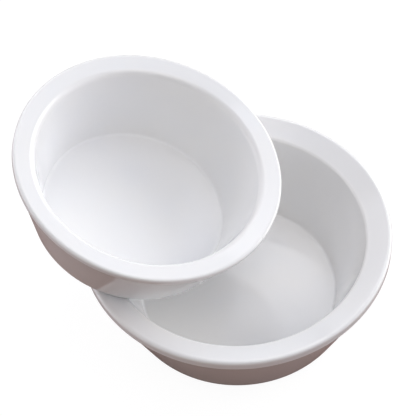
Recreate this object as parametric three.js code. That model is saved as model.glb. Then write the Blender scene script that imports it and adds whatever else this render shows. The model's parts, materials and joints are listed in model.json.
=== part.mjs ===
// Two porcelain evaporating dishes of one pattern, in two sizes. The large dish stands level. The
// small dish is loose: it leans on the large dish's rim and dips one side into the large bowl.
// Each dish is fired in one piece, so each is one solid.
//
// Millimetres, +Z up. The origin is the centre of the large dish's foot, on the bench. The small
// dish leans towards +X, so the pair is symmetric about the XZ plane.
import * as THREE from "three";

// The sizes of each dish. Every width is level, and runs between the sharp corners of the section.
// A "round" is the radius that rounds a corner off.
const LARGE_DISH = {
  height: 64.5, // foot to the outer edge of the rim
  rimRadius: 89.2, // outside of the rim's band
  rimRound: 2, // outer shoulder of the rim
  rimWidth: 14.5, // outside of the band in to the mouth
  rimDrop: 5.6, // fall of the rim's top from its outer edge to the mouth
  mouthRound: 2.4,
  bandHeight: 7, // upright band round the outside of the rim
  bandRound: 0.8, // lower edge of the band
  bandOverhang: 1.2, // the band stands out this far from the top of the outer wall
  wallTopRound: 0.8,
  wallTaper: 20.8, // the outer wall comes in this far on its way down to the bench
  footRound: 10,
  heelWidth: 8, // outer wall at the bench in to the inner wall at the floor
  floorRound: 2,
  floorThickness: 4.6,
};
const SMALL_DISH = {
  height: 53,
  rimRadius: 75.5,
  rimRound: 1.7,
  rimWidth: 12,
  rimDrop: 2.5,
  mouthRound: 4.5,
  bandHeight: 4.4,
  bandRound: 0.8,
  bandOverhang: 0.9,
  wallTopRound: 0.8,
  wallTaper: 16.3,
  footRound: 5.6,
  heelWidth: 5.5,
  floorRound: 1.6,
  floorThickness: 4.4,
};

// How the small dish leans on the large one.
const LEAN_ANGLE = THREE.MathUtils.degToRad(16.2); // its axis from the vertical
const LEAN_INSET = 12.7; // the large dish's mouth in to the centre of the small foot
const CONTACT_GAP = 0.3; // clearance left where the two dishes touch

// Fineness of the solids, and of the finer outlines that find where the dishes touch.
const TURN_SEGMENTS = 48;
const ROUND_STEP = THREE.MathUtils.degToRad(30);
const FINE_ROUND_STEP = THREE.MathUtils.degToRad(6);
const FINE_TURN_STEP = THREE.MathUtils.degToRad(1);
const SETTLE_STEP = 1; // how far the small dish is lowered at a time
const SETTLE_HALVINGS = 12;
const LONGEST_ROUNDS = 0.98; // share of an edge that the rounds at its two ends may take up

// The angle at `corner` between the directions to its two neighbours.
function cornerAngle(before, corner, after) {
  const towardsBefore = before.clone().sub(corner).normalize();
  const towardsAfter = after.clone().sub(corner).normalize();
  return Math.acos(towardsBefore.dot(towardsAfter));
}

// The corner at `corner` between two neighbours, as the points of an arc that starts and ends
// `reach` away from the corner.
function roundedCorner(before, corner, after, reach, stepAngle) {
  const towardsBefore = before.clone().sub(corner).normalize();
  const towardsAfter = after.clone().sub(corner).normalize();
  const opening = cornerAngle(before, corner, after);
  const bisector = towardsBefore.clone().add(towardsAfter).normalize();
  const centre = corner.clone().addScaledVector(bisector, reach / Math.cos(opening / 2));
  const start = corner.clone().addScaledVector(towardsBefore, reach).sub(centre);
  const end = corner.clone().addScaledVector(towardsAfter, reach).sub(centre);
  const sweep = Math.PI - opening;
  const direction = Math.sign(start.cross(end));
  const steps = Math.max(2, Math.ceil(sweep / stepAngle));
  return Array.from({ length: steps + 1 }, (_, i) =>
    start.clone().rotateAround(new THREE.Vector2(), (direction * sweep * i) / steps).add(centre),
  );
}

// An outline whose sharp corners are rounded off. `path` starts and ends on the axis, and
// `rounds[i]` belongs to `path[i + 1]`. Two rounds that meet on a short edge shrink to share it.
function roundedOutline(path, rounds, stepAngle) {
  const reaches = path.map((corner, i) => {
    if (i === 0 || i === path.length - 1) return 0;
    return rounds[i - 1] / Math.tan(cornerAngle(path[i - 1], corner, path[i + 1]) / 2);
  });
  const edgeShare = (i) =>
    (LONGEST_ROUNDS * path[i].distanceTo(path[i + 1])) / (reaches[i] + reaches[i + 1]);
  const arcs = rounds.map((_, i) => {
    const reach = reaches[i + 1] * Math.min(1, edgeShare(i), edgeShare(i + 1));
    return roundedCorner(path[i], path[i + 1], path[i + 2], reach, stepAngle);
  });
  return [path[0], ...arcs.flat(), path.at(-1)];
}

const mouthRadius = (dish) => dish.rimRadius - dish.rimWidth;

// A dish's section, from the axis under the foot, up the outside, over the rim and back down the
// inside to the axis. Points are (radius, height).
function dishOutline(dish, stepAngle) {
  const bandBottom = dish.height - dish.bandHeight;
  const wallTopRadius = dish.rimRadius - dish.bandOverhang;
  const footRadius = wallTopRadius - dish.wallTaper;
  const floorRadius = footRadius - dish.heelWidth;
  const path = [
    [0, 0],
    [footRadius, 0],
    [wallTopRadius, bandBottom],
    [dish.rimRadius, bandBottom],
    [dish.rimRadius, dish.height],
    [mouthRadius(dish), dish.height - dish.rimDrop],
    [floorRadius, dish.floorThickness],
    [0, dish.floorThickness],
  ].map(([radius, height]) => new THREE.Vector2(radius, height));
  const { footRound, wallTopRound, bandRound, rimRound, mouthRound, floorRound } = dish;
  const rounds = [footRound, wallTopRound, bandRound, rimRound, mouthRound, floorRound];
  return roundedOutline(path, rounds, stepAngle);
}

// Distance from a point to a dish's section: negative inside the porcelain.
function distanceToSection(outline, radius, height) {
  let nearest = Infinity;
  let inside = false;
  for (let i = 1; i < outline.length; i++) {
    const a = outline[i - 1];
    const b = outline[i];
    const edgeRadius = b.x - a.x;
    const edgeHeight = b.y - a.y;
    const along =
      ((radius - a.x) * edgeRadius + (height - a.y) * edgeHeight) /
      (edgeRadius * edgeRadius + edgeHeight * edgeHeight);
    const t = THREE.MathUtils.clamp(along, 0, 1);
    nearest = Math.min(
      nearest,
      Math.hypot(radius - a.x - t * edgeRadius, height - a.y - t * edgeHeight),
    );
    const crosses = a.y > height !== b.y > height;
    if (crosses && radius < a.x + ((height - a.y) / edgeHeight) * edgeRadius) inside = !inside;
  }
  return inside ? -nearest : nearest;
}

// Points all over half of a dish's surface, leaning as the small dish does. The other half is its
// mirror image.
function leaningSurface(dish) {
  const points = [];
  for (let turn = 0; turn <= Math.PI; turn += FINE_TURN_STEP) {
    for (const { x: radius, y: height } of dishOutline(dish, FINE_ROUND_STEP)) {
      const point = new THREE.Vector3(radius * Math.cos(turn), radius * Math.sin(turn), height);
      points.push(point.applyAxisAngle(new THREE.Vector3(0, 1, 0), LEAN_ANGLE));
    }
  }
  return points;
}

// The height of the small foot's centre once the leaning dish has come down on the large one.
function settledHeight(leanReach) {
  const largeOutline = dishOutline(LARGE_DISH, FINE_ROUND_STEP);
  const surface = leaningSurface(SMALL_DISH);
  const isClear = (lift) =>
    surface.every(
      ({ x, y, z }) =>
        distanceToSection(largeOutline, Math.hypot(x - leanReach, y), z + lift) > CONTACT_GAP,
    );
  let clear = LARGE_DISH.height + SMALL_DISH.rimRadius;
  while (isClear(clear - SETTLE_STEP)) clear -= SETTLE_STEP;
  let touching = clear - SETTLE_STEP;
  for (let i = 0; i < SETTLE_HALVINGS; i++) {
    const middle = (clear + touching) / 2;
    if (isClear(middle)) clear = middle;
    else touching = middle;
  }
  return clear;
}

function dishMesh(name, dish, glaze) {
  const geometry = new THREE.LatheGeometry(dishOutline(dish, ROUND_STEP), TURN_SEGMENTS);
  geometry.rotateX(Math.PI / 2); // the lathe turns about Y, and the dish stands on Z
  const mesh = new THREE.Mesh(geometry, glaze);
  mesh.name = name;
  return mesh;
}

const whiteGlaze = new THREE.MeshStandardMaterial({
  color: 0xf1f0ed,
  roughness: 0.1,
  metalness: 0,
});

const largeDish = dishMesh("large_dish", LARGE_DISH, whiteGlaze);

const leanReach = mouthRadius(LARGE_DISH) - LEAN_INSET;
const smallDish = dishMesh("small_dish", SMALL_DISH, whiteGlaze);
smallDish.rotation.y = LEAN_ANGLE;
smallDish.position.set(-leanReach, 0, settledHeight(leanReach));

const dishes = new THREE.Group();
dishes.add(largeDish, smallDish);

export default dishes;
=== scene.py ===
"""Two glazed porcelain evaporating dishes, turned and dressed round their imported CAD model.

The large dish stands level on the bench. The small dish leans on the large dish's rim and dips one
side into its bowl. Metres, +Z up, origin at the centre of the large dish's foot.
"""

import json
import logging
import math
from collections.abc import Callable, Sequence
from dataclasses import dataclass, field
from enum import Enum

import bpy
from mathutils import Matrix, Vector

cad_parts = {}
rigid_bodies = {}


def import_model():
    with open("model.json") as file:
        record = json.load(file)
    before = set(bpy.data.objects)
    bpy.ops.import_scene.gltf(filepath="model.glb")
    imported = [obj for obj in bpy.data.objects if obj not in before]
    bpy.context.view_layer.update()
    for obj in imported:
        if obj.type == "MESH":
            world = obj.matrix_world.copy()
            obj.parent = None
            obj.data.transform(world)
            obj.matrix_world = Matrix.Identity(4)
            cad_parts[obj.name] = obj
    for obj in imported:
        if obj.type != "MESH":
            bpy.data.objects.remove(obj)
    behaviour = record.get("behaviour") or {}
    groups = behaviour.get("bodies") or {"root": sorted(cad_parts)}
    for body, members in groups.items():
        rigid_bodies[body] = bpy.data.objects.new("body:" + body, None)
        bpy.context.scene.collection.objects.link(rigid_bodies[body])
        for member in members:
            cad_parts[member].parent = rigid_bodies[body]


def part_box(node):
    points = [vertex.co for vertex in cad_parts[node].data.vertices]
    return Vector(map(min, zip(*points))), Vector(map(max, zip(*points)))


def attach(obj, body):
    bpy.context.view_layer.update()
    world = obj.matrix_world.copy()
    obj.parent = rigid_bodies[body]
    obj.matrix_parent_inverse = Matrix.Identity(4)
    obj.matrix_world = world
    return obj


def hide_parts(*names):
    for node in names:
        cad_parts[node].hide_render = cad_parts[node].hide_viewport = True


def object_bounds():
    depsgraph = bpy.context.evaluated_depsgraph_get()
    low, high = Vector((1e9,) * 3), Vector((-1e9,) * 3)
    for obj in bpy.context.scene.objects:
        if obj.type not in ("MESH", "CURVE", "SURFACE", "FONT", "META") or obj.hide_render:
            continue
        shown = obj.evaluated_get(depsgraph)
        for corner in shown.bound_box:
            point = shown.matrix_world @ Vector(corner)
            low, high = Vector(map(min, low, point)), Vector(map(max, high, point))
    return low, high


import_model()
CAD_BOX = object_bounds()

LOG = logging.getLogger("evaporating_dishes")
MM = 0.001
TOUCH = 0.02 * MM  # two places this close are one place
OWN_PLACE = "own_place"  # a point's place while its dish still stands upright on the origin
Colour = tuple[float, float, float]
Socket = bpy.types.NodeSocket


class Slot(Enum):
    """The record's material slots."""

    WHITE_GLAZE = "white_glaze"


# ---------------------------------------------------------------------------------------------
# Finishes
# ---------------------------------------------------------------------------------------------


class NodeSheet:
    """Lays shader nodes into one node tree."""

    # The Mix node's colour sockets, which share their names with those of its other types.
    FIRST_COLOUR = 6
    SECOND_COLOUR = 7
    MIXED_COLOUR = 2

    def __init__(self, tree: bpy.types.NodeTree) -> None:
        """Take the node tree of a material, a world or a group."""
        self.tree = tree

    def add(self, kind: str, **settings: object) -> bpy.types.Node:
        """Add one node.

        Args:
            kind: The node's type, such as ShaderNodeTexNoise.
            **settings: Attributes of the node, such as operation.

        Returns:
            The new node.
        """
        node = self.tree.nodes.new(kind)
        for name, value in settings.items():
            setattr(node, name, value)
        return node

    def feed(self, socket: Socket, value: object) -> None:
        """Give an input a value.

        Args:
            socket: The input.
            value: Another node's output to link, or a number or colour to set.
        """
        if isinstance(value, Socket):
            self.tree.links.new(value, socket)
        elif socket.type == "RGBA":
            socket.default_value = (*value, 1.0)
        else:
            socket.default_value = value

    def maths(self, operation: str, *values: object) -> Socket:
        """Work out one number.

        Args:
            operation: Such as ADD, MULTIPLY or MAXIMUM.
            *values: The inputs, each an output socket or a number.

        Returns:
            The result.
        """
        node = self.add("ShaderNodeMath", operation=operation)
        for socket, value in zip(node.inputs, values):
            self.feed(socket, value)
        return node.outputs["Value"]

    def ease(self, value: Socket, low: object, high: object, to_low: float, to_high: float) -> Socket:
        """Map a value smoothly from one range to another, held at both ends.

        Args:
            value: The value to map.
            low: Where its range starts.
            high: Where its range ends.
            to_low: What the start becomes.
            to_high: What the end becomes.

        Returns:
            The mapped value.
        """
        node = self.add("ShaderNodeMapRange", interpolation_type="SMOOTHSTEP")
        inputs = {
            "Value": value,
            "From Min": low,
            "From Max": high,
            "To Min": to_low,
            "To Max": to_high,
        }
        for name, given in inputs.items():
            self.feed(node.inputs[name], given)
        return node.outputs["Result"]

    def noise(self, place: Socket, grain: float, detail: float = 2.0) -> Socket:
        """Add a noise texture.

        Args:
            place: The coordinates that it reads.
            grain: The size of its patches, in metres.
            detail: Octaves of finer noise.

        Returns:
            Its value, about 0.5 on average.
        """
        node = self.add("ShaderNodeTexNoise")
        self.feed(node.inputs["Vector"], place)
        self.feed(node.inputs["Scale"], 1 / grain)
        self.feed(node.inputs["Detail"], detail)
        return node.outputs["Fac"]

    def blend(self, share: Socket, first: object, second: object) -> Socket:
        """Mix two colours.

        Args:
            share: How much of the second colour.
            first: A colour or an output socket.
            second: A colour or an output socket.

        Returns:
            The mixed colour.
        """
        node = self.add("ShaderNodeMix", data_type="RGBA")
        self.feed(node.inputs["Factor"], share)
        self.feed(node.inputs[self.FIRST_COLOUR], first)
        self.feed(node.inputs[self.SECOND_COLOUR], second)
        return node.outputs[self.MIXED_COLOUR]


class SharedEffect:
    """A node group that is built once and placed in each material with its own values."""

    name: str
    inputs: dict[str, tuple[str, object]]
    outputs: dict[str, str]

    def group(self) -> bpy.types.NodeTree:
        """Find the node group, or build it the first time.

        Returns:
            The node group.
        """
        made = bpy.data.node_groups.get(self.name)
        if made:
            return made
        made = bpy.data.node_groups.new(self.name, "ShaderNodeTree")
        for name, (kind, value) in self.inputs.items():
            socket = made.interface.new_socket(name, in_out="INPUT", socket_type=kind)
            if value is not None:
                socket.default_value = value
        for name, kind in self.outputs.items():
            made.interface.new_socket(name, in_out="OUTPUT", socket_type=kind)
        sheet = NodeSheet(made)
        given = sheet.add("NodeGroupInput").outputs
        results = self.lay(sheet, given)
        end = sheet.add("NodeGroupOutput")
        for name, socket in results.items():
            sheet.feed(end.inputs[name], socket)
        return made

    def lay(self, sheet: NodeSheet, given: Sequence[Socket]) -> dict[str, Socket]:
        """Lay the group's own nodes.

        Args:
            sheet: The sheet to lay them on.
            given: The group's inputs.

        Returns:
            The group's outputs by name.
        """
        raise NotImplementedError

    def place(self, sheet: NodeSheet, **values: object) -> bpy.types.Node:
        """Place the group in a material.

        Args:
            sheet: The material's sheet.
            **values: The inputs by name, with _ for each space.

        Returns:
            The group node.
        """
        node = sheet.add("ShaderNodeGroup", node_tree=self.group())
        for name, value in values.items():
            sheet.feed(node.inputs[name.replace("_", " ")], value)
        return node


FLOAT = "NodeSocketFloat"
VECTOR = "NodeSocketVector"


class GlazeFlow(SharedEffect):
    """The lie of a fired glaze: slow waves, orange peel and a few pinholes, as a height in metres."""

    name = "glaze_flow"
    inputs = {
        "Place": (VECTOR, None),
        "Wave": (FLOAT, 0.02 * MM),
        "Peel": (FLOAT, 0.001 * MM),
        "Pinhole": (FLOAT, 0.03 * MM),
    }
    outputs = {"Height": FLOAT}

    WAVE_GRAIN = 26 * MM
    PEEL_GRAIN = 1.6 * MM
    PINHOLE_CELL = 9 * MM
    PINHOLE_RADIUS = 0.16 * MM
    PINHOLE_SHARE = 0.12  # share of the cells that hold one

    def lay(self, sheet: NodeSheet, given: Sequence[Socket]) -> dict[str, Socket]:
        """Lay the waves, the peel and the pinholes.

        Args:
            sheet: The sheet to lay them on.
            given: The group's inputs.

        Returns:
            The height.
        """
        waves = sheet.noise(given["Place"], self.WAVE_GRAIN, detail=1)
        peels = sheet.noise(given["Place"], self.PEEL_GRAIN, detail=1)
        dots = scattered_dots(
            sheet, given["Place"], self.PINHOLE_CELL, self.PINHOLE_RADIUS, self.PINHOLE_SHARE
        )
        rise = sheet.maths(
            "ADD",
            sheet.maths("MULTIPLY", waves, given["Wave"]),
            sheet.maths("MULTIPLY", peels, given["Peel"]),
        )
        holes = sheet.maths("MULTIPLY", dots, given["Pinhole"])
        return {"Height": sheet.maths("SUBTRACT", rise, holes)}


class KilnSpecks(SharedEffect):
    """Tiny brown iron specks that burn through a white glaze."""

    name = "kiln_specks"
    inputs = {"Place": (VECTOR, None), "Cell": (FLOAT, 16 * MM)}
    outputs = {"Mask": FLOAT}

    RADIUS = 0.22 * MM
    SHARE = 0.2

    def lay(self, sheet: NodeSheet, given: Sequence[Socket]) -> dict[str, Socket]:
        """Lay the specks.

        Args:
            sheet: The sheet to lay them on.
            given: The group's inputs.

        Returns:
            The mask, 1 on a speck.
        """
        return {"Mask": scattered_dots(sheet, given["Place"], given["Cell"], self.RADIUS, self.SHARE)}


class SectionBand(SharedEffect):
    """A band round a dish at one place of its section, such as a corner or the foot."""

    name = "section_band"
    inputs = {
        "Own place": (VECTOR, None),
        "Radius": (FLOAT, None),
        "Height": (FLOAT, None),
        "Reach": (FLOAT, None),
    }
    outputs = {"Mask": FLOAT}

    def lay(self, sheet: NodeSheet, given: Sequence[Socket]) -> dict[str, Socket]:
        """Lay the band.

        Args:
            sheet: The sheet to lay it on.
            given: The group's inputs.

        Returns:
            The mask, 1 at the place and 0 from the reach on.
        """
        split = sheet.add("ShaderNodeSeparateXYZ")
        sheet.feed(split.inputs[0], given["Own place"])
        squares = [sheet.maths("POWER", split.outputs[axis], 2.0) for axis in ("X", "Y")]
        radius = sheet.maths("SQRT", sheet.maths("ADD", *squares))
        across = sheet.maths("SUBTRACT", radius, given["Radius"])
        up = sheet.maths("SUBTRACT", split.outputs["Z"], given["Height"])
        squares = [sheet.maths("POWER", value, 2.0) for value in (across, up)]
        away = sheet.maths("SQRT", sheet.maths("ADD", *squares))
        return {"Mask": sheet.ease(away, 0.0, given["Reach"], 1.0, 0.0)}


SMALLEST_DOT = 0.35  # the smallest dot's radius, as a share of the largest's


def scattered_dots(
    sheet: NodeSheet, place: Socket, cell: object, radius: float, share: float
) -> Socket:
    """Lay sparse round dots, at most one in a cell.

    Args:
        sheet: The sheet to lay them on.
        place: The coordinates that they read.
        cell: The size of a cell in metres, a number or an output socket.
        radius: The largest dot's radius in metres.
        share: The share of the cells that hold one.

    Returns:
        The mask, 1 on a dot.
    """
    cells = sheet.add("ShaderNodeTexVoronoi", feature="F1")
    sheet.feed(cells.inputs["Vector"], place)
    sheet.feed(cells.inputs["Scale"], sheet.maths("DIVIDE", 1.0, cell))
    chance = sheet.add("ShaderNodeSeparateColor")
    sheet.feed(chance.inputs[0], cells.outputs["Color"])
    lucky = sheet.maths("LESS_THAN", chance.outputs["Red"], share)
    size = sheet.ease(chance.outputs["Green"], 0.0, 1.0, SMALLEST_DOT * radius, radius)
    away = sheet.maths("MULTIPLY", cells.outputs["Distance"], cell)
    return sheet.maths("MULTIPLY", lucky, sheet.ease(away, 0.0, size, 1.0, 0.0))


@dataclass(frozen=True)
class WhiteGlaze:
    """Clear glossy glaze over white porcelain, thin on the edges, with a bare fired foot ring.

    The ranges are of the noise, or of the ring's mask, over which a change comes in.
    """

    body: Colour = (0.91, 0.905, 0.90)
    cooler: Colour = (0.90, 0.90, 0.905)
    thin: Colour = (0.92, 0.915, 0.905)
    painted_band_shade: Colour = (0.66, 0.66, 0.655)  # painted shade in the corner under the band
    painted_crease_highlight: Colour = (0.95, 0.95, 0.95)  # painted highlight in the corner between wall and floor
    speck: Colour = (0.16, 0.11, 0.075)
    bare: Colour = (0.66, 0.62, 0.56)
    ior: float = 1.5
    roughness: float = 0.08
    smeared: float = 0.13  # roughness where hands have dulled the gloss
    bare_roughness: float = 0.7
    mottle_grain: float = 32 * MM
    mottle_range: tuple[float, float] = (0.35, 0.7)
    smear_grain: float = 21 * MM
    smear_range: tuple[float, float] = (0.45, 0.75)
    thin_reach: float = 4 * MM
    band_reach: float = 2 * MM
    painted_crease_highlight_reach: float = 2 * MM
    painted_band_shade_reach: float = 1.6 * MM
    bare_reach: float = 2.2 * MM
    bare_range: tuple[float, float] = (0.15, 0.3)
    bare_grain: float = 0.35 * MM
    bare_rise: float = 0.02 * MM

    def dress(self, piece: bpy.types.Object, dish: "DishSizes") -> None:
        """Give a dish its glaze.

        Args:
            piece: The dish.
            dish: Its sizes, which say where its corners are.
        """
        material = bpy.data.materials.new(piece.name + "_glaze")
        material.use_nodes = True
        sheet = NodeSheet(material.node_tree)
        shader = material.node_tree.nodes["Principled BSDF"]
        place = sheet.add("ShaderNodeTexCoord").outputs["Object"]
        own = sheet.add("ShaderNodeAttribute", attribute_name=OWN_PLACE).outputs["Vector"]
        bare = self.foot_ring(sheet, own, dish)

        sheet.feed(shader.inputs["Base Color"], self.tint(sheet, place, own, dish, bare))
        handled = sheet.noise(place, self.smear_grain, detail=4)
        smears = sheet.ease(handled, *self.smear_range, self.roughness, self.smeared)
        fired = sheet.maths("MULTIPLY", bare, self.bare_roughness)
        sheet.feed(shader.inputs["Roughness"], sheet.maths("MAXIMUM", smears, fired))
        sheet.feed(shader.inputs["Normal"], self.lie(sheet, place, bare))
        sheet.feed(shader.inputs["IOR"], self.ior)
        piece.data.materials.append(material)

    def foot_ring(self, sheet: NodeSheet, own: Socket, dish: "DishSizes") -> Socket:
        """Mask the ring that the dish stood on in the kiln.

        Args:
            sheet: The material's sheet.
            own: Places on the upright dish.
            dish: Its sizes.

        Returns:
            The mask, 1 where the porcelain is bare.
        """
        ring = SectionBand().place(
            sheet, Own_place=own, Radius=dish.foot_flat, Height=0.0, Reach=self.bare_reach
        )
        return sheet.ease(ring.outputs["Mask"], *self.bare_range, 0.0, 1.0)

    def tint(
        self, sheet: NodeSheet, place: Socket, own: Socket, dish: "DishSizes", bare: Socket
    ) -> Socket:
        """Colour the glaze: mottled, a little lighter where thin, with painted shade under the band and
        a painted highlight round the floor corner.

        Args:
            sheet: The material's sheet.
            place: Places on the dish as it lies.
            own: Places on the upright dish.
            dish: Its sizes.
            bare: The mask of the bare ring.

        Returns:
            The colour.
        """
        patches = sheet.noise(place, self.mottle_grain, detail=3)
        mottle = sheet.ease(patches, *self.mottle_range, 0.0, 1.0)
        colour = sheet.blend(mottle, self.body, self.cooler)
        edges = (
            (self.thin, dish.rim_radius, dish.height, self.thin_reach),
            (self.thin, dish.mouth_radius, dish.mouth_height, self.thin_reach),
            (self.thin, dish.rim_radius, dish.band_bottom, self.band_reach),
            # painted highlight round the corner between wall and floor
            (self.painted_crease_highlight, dish.floor_radius, dish.floor_thickness, self.painted_crease_highlight_reach),
            # painted shade under the band's overhang
            (self.painted_band_shade, dish.wall_top_radius, dish.band_bottom, self.painted_band_shade_reach),
        )
        for tone, radius, height, reach in edges:
            band = SectionBand().place(
                sheet, Own_place=own, Radius=radius, Height=height, Reach=reach
            )
            colour = sheet.blend(band.outputs["Mask"], colour, tone)
        specks = KilnSpecks().place(sheet, Place=place)
        colour = sheet.blend(specks.outputs["Mask"], colour, self.speck)
        return sheet.blend(bare, colour, self.bare)

    def lie(self, sheet: NodeSheet, place: Socket, bare: Socket) -> Socket:
        """Lay the glaze's surface.

        Args:
            sheet: The material's sheet.
            place: Places on the dish as it lies.
            bare: The mask of the bare ring.

        Returns:
            The normal.
        """
        flow = GlazeFlow().place(sheet, Place=place)
        grit = sheet.maths("MULTIPLY", sheet.noise(place, self.bare_grain), self.bare_rise)
        height = sheet.maths("ADD", flow.outputs["Height"], sheet.maths("MULTIPLY", grit, bare))
        bump = sheet.add("ShaderNodeBump")
        sheet.feed(bump.inputs["Distance"], 1.0)  # the height is in metres already
        sheet.feed(bump.inputs["Height"], height)
        return bump.outputs["Normal"]


# ---------------------------------------------------------------------------------------------
# Dishes
# ---------------------------------------------------------------------------------------------


def select_only(piece: bpy.types.Object) -> None:
    """Select one object, make it active and deselect everything else."""
    for other in bpy.context.view_layer.objects:
        other.select_set(False)
    piece.select_set(True)
    bpy.context.view_layer.objects.active = piece


class Wheel:
    """Edit mode on one dish, as on a potter's wheel, with faces and edges picked by their place."""

    QUAD = 4  # corners of an ordinary face: one with more closes the dish

    def __init__(self, piece: bpy.types.Object) -> None:
        """Take the mesh object to work on."""
        self.piece = piece

    def __enter__(self) -> "Wheel":
        """Start edit mode on this object alone."""
        select_only(self.piece)
        bpy.ops.object.mode_set(mode="EDIT")
        return self

    def __exit__(self, *problem: object) -> None:
        """Go back to object mode."""
        bpy.ops.object.mode_set(mode="OBJECT")

    def pick(self, kind: str, wanted: Callable[[list[Vector]], bool]) -> None:
        """Select the wanted faces or edges, and nothing else.

        Args:
            kind: FACE or EDGE.
            wanted: Says whether a face or edge is wanted, from the places of its points.
        """
        bpy.ops.mesh.select_mode(type=kind)
        bpy.ops.mesh.select_all(action="DESELECT")
        bpy.ops.object.mode_set(mode="OBJECT")
        mesh = self.piece.data
        places = [vertex.co for vertex in mesh.vertices]
        for element in mesh.polygons if kind == "FACE" else mesh.edges:
            element.select = wanted([places[i] for i in element.vertices])
        bpy.ops.object.mode_set(mode="EDIT")

    def pick_ring(self, radius: float, height: float) -> None:
        """Select the ring of edges at one radius and height."""
        self.pick("EDGE", lambda points: all(is_at(point, radius, height) for point in points))

    def pick_cap(self, height: float) -> None:
        """Select the one flat face that closes the dish at a height.

        Args:
            height: The face's height.
        """

        def closes(points: list[Vector]) -> bool:
            """Say whether a face with these corners is the one that closes the dish."""
            return len(points) > self.QUAD and all(abs(point.z - height) < TOUCH for point in points)

        self.pick("FACE", closes)

    def extrude(self, rise: float) -> None:
        """Extrude the selected face straight up, or down if the rise is negative."""
        bpy.ops.mesh.extrude_region_move(TRANSFORM_OT_translate={"value": (0, 0, rise)})

    def widen(self, share: float) -> None:
        """Scale what is selected about the dish's axis, by a share of its radius."""
        bpy.ops.transform.resize(value=(share, share, 1), center_override=(0, 0, 0))


def is_at(point: Vector, radius: float, height: float) -> bool:
    """Say whether a point lies on the ring of that radius and height."""
    return abs(math.hypot(point.x, point.y) - radius) < TOUCH and abs(point.z - height) < TOUCH


@dataclass(frozen=True)
class DishSizes:
    """The sizes of one dish in metres, between the sharp corners of its section."""

    height: float
    rim_radius: float
    rim_round: float
    rim_width: float
    rim_drop: float
    mouth_round: float
    band_height: float
    band_overhang: float
    wall_taper: float
    foot_round: float
    heel_width: float
    floor_round: float
    floor_thickness: float
    edge_round: float = 0.8 * MM  # lower edge of the band, and the corner under it

    @property
    def band_bottom(self) -> float:
        """Height of the band's lower edge."""
        return self.height - self.band_height

    @property
    def wall_top_radius(self) -> float:
        """Radius of the outer wall under the band."""
        return self.rim_radius - self.band_overhang

    @property
    def foot_radius(self) -> float:
        """Radius of the outer wall carried down to the bench."""
        return self.wall_top_radius - self.wall_taper

    @property
    def mouth_radius(self) -> float:
        """Radius of the rim's inner edge."""
        return self.rim_radius - self.rim_width

    @property
    def mouth_height(self) -> float:
        """Height of the rim's inner edge."""
        return self.height - self.rim_drop

    @property
    def floor_radius(self) -> float:
        """Radius of the inner wall carried down to the floor."""
        return self.foot_radius - self.heel_width

    @property
    def corners(self) -> list[tuple[float, float, float]]:
        """Each corner's radius, height and round, from the foot over the rim to the floor."""
        return [
            (self.foot_radius, 0.0, self.foot_round),
            (self.wall_top_radius, self.band_bottom, self.edge_round),
            (self.rim_radius, self.band_bottom, self.edge_round),
            (self.rim_radius, self.height, self.rim_round),
            (self.mouth_radius, self.mouth_height, self.mouth_round),
            (self.floor_radius, self.floor_thickness, self.floor_round),
        ]

    @property
    def reaches(self) -> list[float]:
        """How far from each corner its round starts."""
        path = [Vector(corner[:2]) for corner in self.corners]
        path = [Vector((0, 0)), *path, Vector((0, self.floor_thickness))]
        found = []
        for before, corner, after, (_, _, rounding) in zip(path, path[1:], path[2:], self.corners):
            opening = (before - corner).angle(after - corner)
            found.append(rounding / math.tan(opening / 2))
        return found

    @property
    def foot_flat(self) -> float:
        """Radius of the flat that the dish stands on."""
        return self.foot_radius - self.reaches[0]


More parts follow.
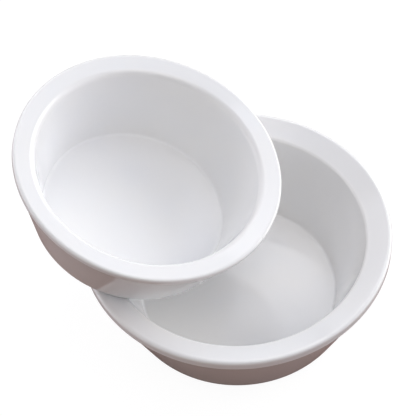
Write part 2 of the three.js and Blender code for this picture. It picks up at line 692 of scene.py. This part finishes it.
@dataclass
class Dish:
    """One porcelain dish: turned upright, rounded, leant over and glazed."""

    name: str
    node: str
    sizes: DishSizes
    lean: float = 0.0  # radians from upright, towards +X
    sides: int = 224
    finish: WhiteGlaze = field(default_factory=WhiteGlaze)

    ROUND_STEP = math.radians(6)
    LEAST_ROUND_STEPS = 4
    WALL_SHARE = 0.4  # an edge that rises by more of the bowl's depth than this runs down a wall
    WALL_CUTS = 11
    CAP_RINGS = 9
    CENTRE_SHARE = 0.08  # the innermost ring, as a share of the cap's radius

    def build(self) -> bpy.types.Object:
        """Make the dish and hand it over to its CAD body.

        Returns:
            The finished dish.
        """
        piece = self.rough_out()
        self.round_corners(piece)
        self.divide(piece)
        self.settle(piece)
        self.smooth(piece)
        self.finish.dress(piece, self.sizes)
        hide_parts(self.node)
        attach(piece, self.node)
        LOG.info("%s: %d faces", piece.name, len(piece.data.polygons))
        return piece

    def rough_out(self) -> bpy.types.Object:
        """Shape the sharp-cornered dish from a cylinder.

        Returns:
            The dish, upright on the origin.
        """
        sizes = self.sizes
        bpy.ops.mesh.primitive_cylinder_add(
            vertices=self.sides,
            radius=sizes.foot_radius,
            depth=sizes.band_bottom,
            location=(0, 0, sizes.band_bottom / 2),
        )
        piece = bpy.context.object
        piece.name = piece.data.name = self.name
        select_only(piece)
        bpy.ops.object.transform_apply(location=True, rotation=False, scale=False)
        with Wheel(piece) as wheel:
            wheel.pick_cap(sizes.band_bottom)
            wheel.widen(sizes.wall_top_radius / sizes.foot_radius)
            wheel.extrude(0.0)
            wheel.widen(sizes.rim_radius / sizes.wall_top_radius)
            wheel.extrude(sizes.band_height)
            wheel.extrude(-sizes.rim_drop)
            wheel.widen(sizes.mouth_radius / sizes.rim_radius)
            wheel.extrude(sizes.floor_thickness - sizes.mouth_height)
            wheel.widen(sizes.floor_radius / sizes.mouth_radius)
        return piece

    def round_corners(self, piece: bpy.types.Object) -> None:
        """Round the ring of edges at each corner of the section.

        Args:
            piece: The sharp-cornered dish.
        """
        corners = self.sizes.corners
        for (radius, height, rounding), reach in zip(corners, self.sizes.reaches):
            sweep = math.pi - 2 * math.atan(rounding / reach)
            with Wheel(piece) as wheel:
                wheel.pick_ring(radius, height)
                bpy.ops.mesh.bevel(
                    offset=reach,
                    offset_type="OFFSET",
                    segments=max(self.LEAST_ROUND_STEPS, math.ceil(sweep / self.ROUND_STEP)),
                    profile=0.5,  # a circular arc
                    affect="EDGES",
                    clamp_overlap=False,
                )

    def divide(self, piece: bpy.types.Object) -> None:
        """Cut the walls and the two flat caps into rings, and close the caps at the axis.

        Args:
            piece: The rounded dish.
        """
        sizes = self.sizes
        long_edge = self.WALL_SHARE * (sizes.mouth_height - sizes.floor_thickness)
        with Wheel(piece) as wheel:
            wheel.pick("EDGE", lambda points: abs(points[0].z - points[1].z) > long_edge)
            bpy.ops.mesh.subdivide(number_cuts=self.WALL_CUTS)
            for height in (0.0, sizes.floor_thickness):
                wheel.pick_cap(height)
                for ring in range(self.CAP_RINGS):
                    here = 1 - (1 - self.CENTRE_SHARE) * ring / self.CAP_RINGS
                    there = 1 - (1 - self.CENTRE_SHARE) * (ring + 1) / self.CAP_RINGS
                    wheel.extrude(0.0)
                    wheel.widen(there / here)
                bpy.ops.mesh.poke()

    def settle(self, piece: bpy.types.Object) -> None:
        """Note each point's upright place, then lean the dish and move it to where its node is.

        Args:
            piece: The divided dish.
        """
        mesh = piece.data
        own = mesh.attributes.new(OWN_PLACE, "FLOAT_VECTOR", "POINT")
        upright = [distance for vertex in mesh.vertices for distance in vertex.co]
        own.data.foreach_set("vector", upright)
        low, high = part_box(self.node)
        if self.lean:
            with Wheel(piece):
                bpy.ops.mesh.select_all(action="SELECT")
                # With no window, the operator turns the other way.
                bpy.ops.transform.rotate(
                    value=-self.lean, orient_axis="Y", center_override=(0, 0, 0)
                )
        spans = list(zip(*(vertex.co for vertex in mesh.vertices)))
        middle = Vector([(min(span) + max(span)) / 2 for span in spans])
        with Wheel(piece):
            bpy.ops.mesh.select_all(action="SELECT")
            bpy.ops.transform.translate(value=(low + high) / 2 - middle)

    def smooth(self, piece: bpy.types.Object) -> None:
        """Turn every face outwards and shade the dish smooth.

        Args:
            piece: The dish in its place.
        """
        with Wheel(piece):
            bpy.ops.mesh.select_all(action="SELECT")
            bpy.ops.mesh.normals_make_consistent(inside=False)
        bpy.ops.object.shade_smooth()
        modifier = piece.modifiers.new("even_normals", "WEIGHTED_NORMAL")
        modifier.keep_sharp = True
        bpy.ops.object.modifier_apply(modifier=modifier.name)


# ---------------------------------------------------------------------------------------------
# Stage
# ---------------------------------------------------------------------------------------------


@dataclass
class Viewpoint:
    """The camera, above the front of the pair and a little to its right."""

    azimuth: float = math.radians(16.78)
    elevation: float = math.radians(52.68)
    roll: float = math.radians(-3.71)
    distance: float = 752.8 * MM
    aim: tuple[float, float, float] = (-3.0 * MM, 9.4 * MM, -0.2 * MM)  # from the middle of the CAD box
    lens: float = 112.5
    sensor: float = 36.0

    def build(self) -> bpy.types.Object:
        """Make the camera and look through it.

        Returns:
            The camera.
        """
        low, high = CAD_BOX
        level = math.cos(self.elevation)
        forward = Vector(
            (
                -math.sin(self.azimuth) * level,
                math.cos(self.azimuth) * level,
                -math.sin(self.elevation),
            )
        )
        right = Vector((math.cos(self.azimuth), math.sin(self.azimuth), 0))
        up = right.cross(forward)
        turned_right = right * math.cos(self.roll) + up * math.sin(self.roll)
        turned_up = up * math.cos(self.roll) - right * math.sin(self.roll)
        data = bpy.data.cameras.new("camera")
        data.lens = self.lens
        data.sensor_width = self.sensor
        camera = bpy.data.objects.new("camera", data)
        bpy.context.scene.collection.objects.link(camera)
        axes = Matrix((turned_right, turned_up, -forward)).transposed()
        camera.matrix_world = Matrix.Translation(
            (low + high) / 2 + Vector(self.aim) - forward * self.distance
        ) @ axes.to_4x4()
        bpy.context.scene.camera = camera
        LOG.info("camera: %.0f mm lens at %.0f mm", self.lens, self.distance / MM)
        return camera


@dataclass
class SoftLight:
    """A large soft panel that shines on the pair."""

    name: str
    azimuth: float  # degrees from behind the pair, positive towards +X
    elevation: float  # degrees above the bench
    width: float  # metres
    length: float  # metres
    power: float  # watts
    colour: Colour
    distance: float = 1.7  # metres from the pair

    def build(self, target: Vector) -> bpy.types.Object:
        """Make the light.

        Args:
            target: The point that it faces.

        Returns:
            The light.
        """
        data = bpy.data.lights.new(self.name, "AREA")
        data.shape = "RECTANGLE"
        data.size = self.width
        data.size_y = self.length
        data.energy = self.power
        data.color = self.colour
        light = bpy.data.objects.new(self.name, data)
        bpy.context.scene.collection.objects.link(light)
        turn, rise = math.radians(self.azimuth), math.radians(self.elevation)
        away = Vector(
            (math.sin(turn) * math.cos(rise), math.cos(turn) * math.cos(rise), math.sin(rise))
        )
        light.location = target + away * self.distance
        light.rotation_mode = "QUATERNION"
        light.rotation_quaternion = away.to_track_quat("Z", "Y")
        LOG.info("light: %s", self.name)
        return light


@dataclass
class Stage:
    """A pale bench top and a pale room, softly lit from all round, most from behind.

    Both look near white. What the dishes catch from them is darker: a warm brown from the bench
    top, and a soft sky from the room.
    """

    bench_shown: Colour = (1.0, 1.0, 1.0)
    bench_shown_strength: float = 0.93
    bench_grey: Colour = (0.12, 0.12, 0.12)  # takes the pair's soft shadow where it is seen
    bench_bounce: Colour = (0.30, 0.20, 0.17)  # lights the dishes from below
    bench_roughness: float = 0.9
    bench_width: float = 8.0
    bench_drop: float = 0.1 * MM
    sky_shown: Colour = (1.0, 1.0, 1.0)
    sky_high: Colour = (0.28, 0.30, 0.34)
    sky_low: Colour = (0.0, 0.0, 0.0)
    sky_range: tuple[float, float] = (0.3, 0.8)  # from low to high sky: 0 is level, 1 straight up
    lights: tuple[SoftLight, ...] = (
        SoftLight("back_right_low", 45, 16, 1.6, 1.1, 22.6, (0.98, 0.99, 0.98)),
        SoftLight("right_low", 90, 12, 1.1, 1.1, 6.0, (0.8, 0.83, 1.0)),
        SoftLight("right_high", 120, 62, 1.1, 1.1, 7.8, (1.0, 0.93, 0.84)),
        SoftLight("overhead", 55, 64, 1.1, 1.1, 1.4, (0.3, 0.5, 1.0)),
        SoftLight("left_low", -90, 12, 1.6, 1.1, 13.5, (0.91, 0.91, 1.0)),
        SoftLight("left_high", -45, 30, 1.1, 1.3, 5.8, (0.92, 0.89, 0.94)),
        SoftLight("window", -17, 54, 0.85, 1.1, 5.0, (1.0, 0.99, 0.98)),
        SoftLight("front_left", -150, 20, 1.1, 1.3, 3.8, (1.0, 0.93, 0.87)),
    )

    def build(self) -> None:
        """Make the bench top, the room and the lights."""
        self.lay_bench()
        self.light_room()
        low, high = CAD_BOX
        for light in self.lights:
            light.build((low + high) / 2)
        bpy.context.scene.view_settings.view_transform = "Standard"

    def lay_bench(self) -> None:
        """Lay the bench top just under the large foot: it looks near white and lights warm."""
        bpy.ops.mesh.primitive_plane_add(
            size=self.bench_width, location=(0, 0, CAD_BOX[0].z - self.bench_drop)
        )
        bench = bpy.context.object
        bench.name = "bench_top"
        material = bpy.data.materials.new("pale_bench")
        material.use_nodes = True
        sheet = NodeSheet(material.node_tree)
        shader = material.node_tree.nodes["Principled BSDF"]
        seen = sheet.add("ShaderNodeLightPath").outputs["Is Camera Ray"]
        sheet.feed(
            shader.inputs["Base Color"], sheet.blend(seen, self.bench_bounce, self.bench_grey)
        )
        sheet.feed(shader.inputs["Roughness"], self.bench_roughness)
        sheet.feed(shader.inputs["Specular IOR Level"], 0.0)
        sheet.feed(shader.inputs["Emission Color"], self.bench_shown)
        glow = sheet.maths("MULTIPLY", seen, self.bench_shown_strength)
        sheet.feed(shader.inputs["Emission Strength"], glow)
        bench.data.materials.append(material)
        LOG.info("bench top")

    def light_room(self) -> None:
        """Light the room: white where it is seen, but it lights as a soft sky, dark low down."""
        world = bpy.data.worlds.new("room")
        world.use_nodes = True
        bpy.context.scene.world = world
        sheet = NodeSheet(world.node_tree)
        background = world.node_tree.nodes["Background"]
        split = sheet.add("ShaderNodeSeparateXYZ")
        sheet.feed(split.inputs[0], sheet.add("ShaderNodeTexCoord").outputs["Generated"])
        height = sheet.ease(split.outputs["Z"], *self.sky_range, 0.0, 1.0)
        room = sheet.blend(height, self.sky_low, self.sky_high)
        seen = sheet.add("ShaderNodeLightPath").outputs["Is Camera Ray"]
        sheet.feed(background.inputs["Color"], sheet.blend(seen, room, self.sky_shown))
        LOG.info("room")


# ---------------------------------------------------------------------------------------------
# The pair
# ---------------------------------------------------------------------------------------------

LARGE_SIZES = DishSizes(
    height=64.5 * MM,
    rim_radius=89.2 * MM,
    rim_round=2 * MM,
    rim_width=14.5 * MM,
    rim_drop=5.6 * MM,
    mouth_round=2.4 * MM,
    band_height=7 * MM,
    band_overhang=1.2 * MM,
    wall_taper=20.8 * MM,
    foot_round=10 * MM,
    heel_width=8 * MM,
    floor_round=2 * MM,
    floor_thickness=4.6 * MM,
)
SMALL_SIZES = DishSizes(
    height=53 * MM,
    rim_radius=75.5 * MM,
    rim_round=1.7 * MM,
    rim_width=12 * MM,
    rim_drop=2.5 * MM,
    mouth_round=4.5 * MM,
    band_height=4.4 * MM,
    band_overhang=0.9 * MM,
    wall_taper=16.3 * MM,
    foot_round=5.6 * MM,
    heel_width=5.5 * MM,
    floor_round=1.6 * MM,
    floor_thickness=4.4 * MM,
)
SMALL_LEAN = math.radians(16.2)


def main() -> None:
    """Build the camera, the stage and the two dishes."""
    logging.basicConfig(level=logging.INFO, format="%(message)s")
    Viewpoint().build()
    Stage().build()
    Dish("large_evaporating_dish", "large_dish", LARGE_SIZES).build()
    Dish("small_evaporating_dish", "small_dish", SMALL_SIZES, lean=SMALL_LEAN).build()


if __name__ == "__main__":
    main()
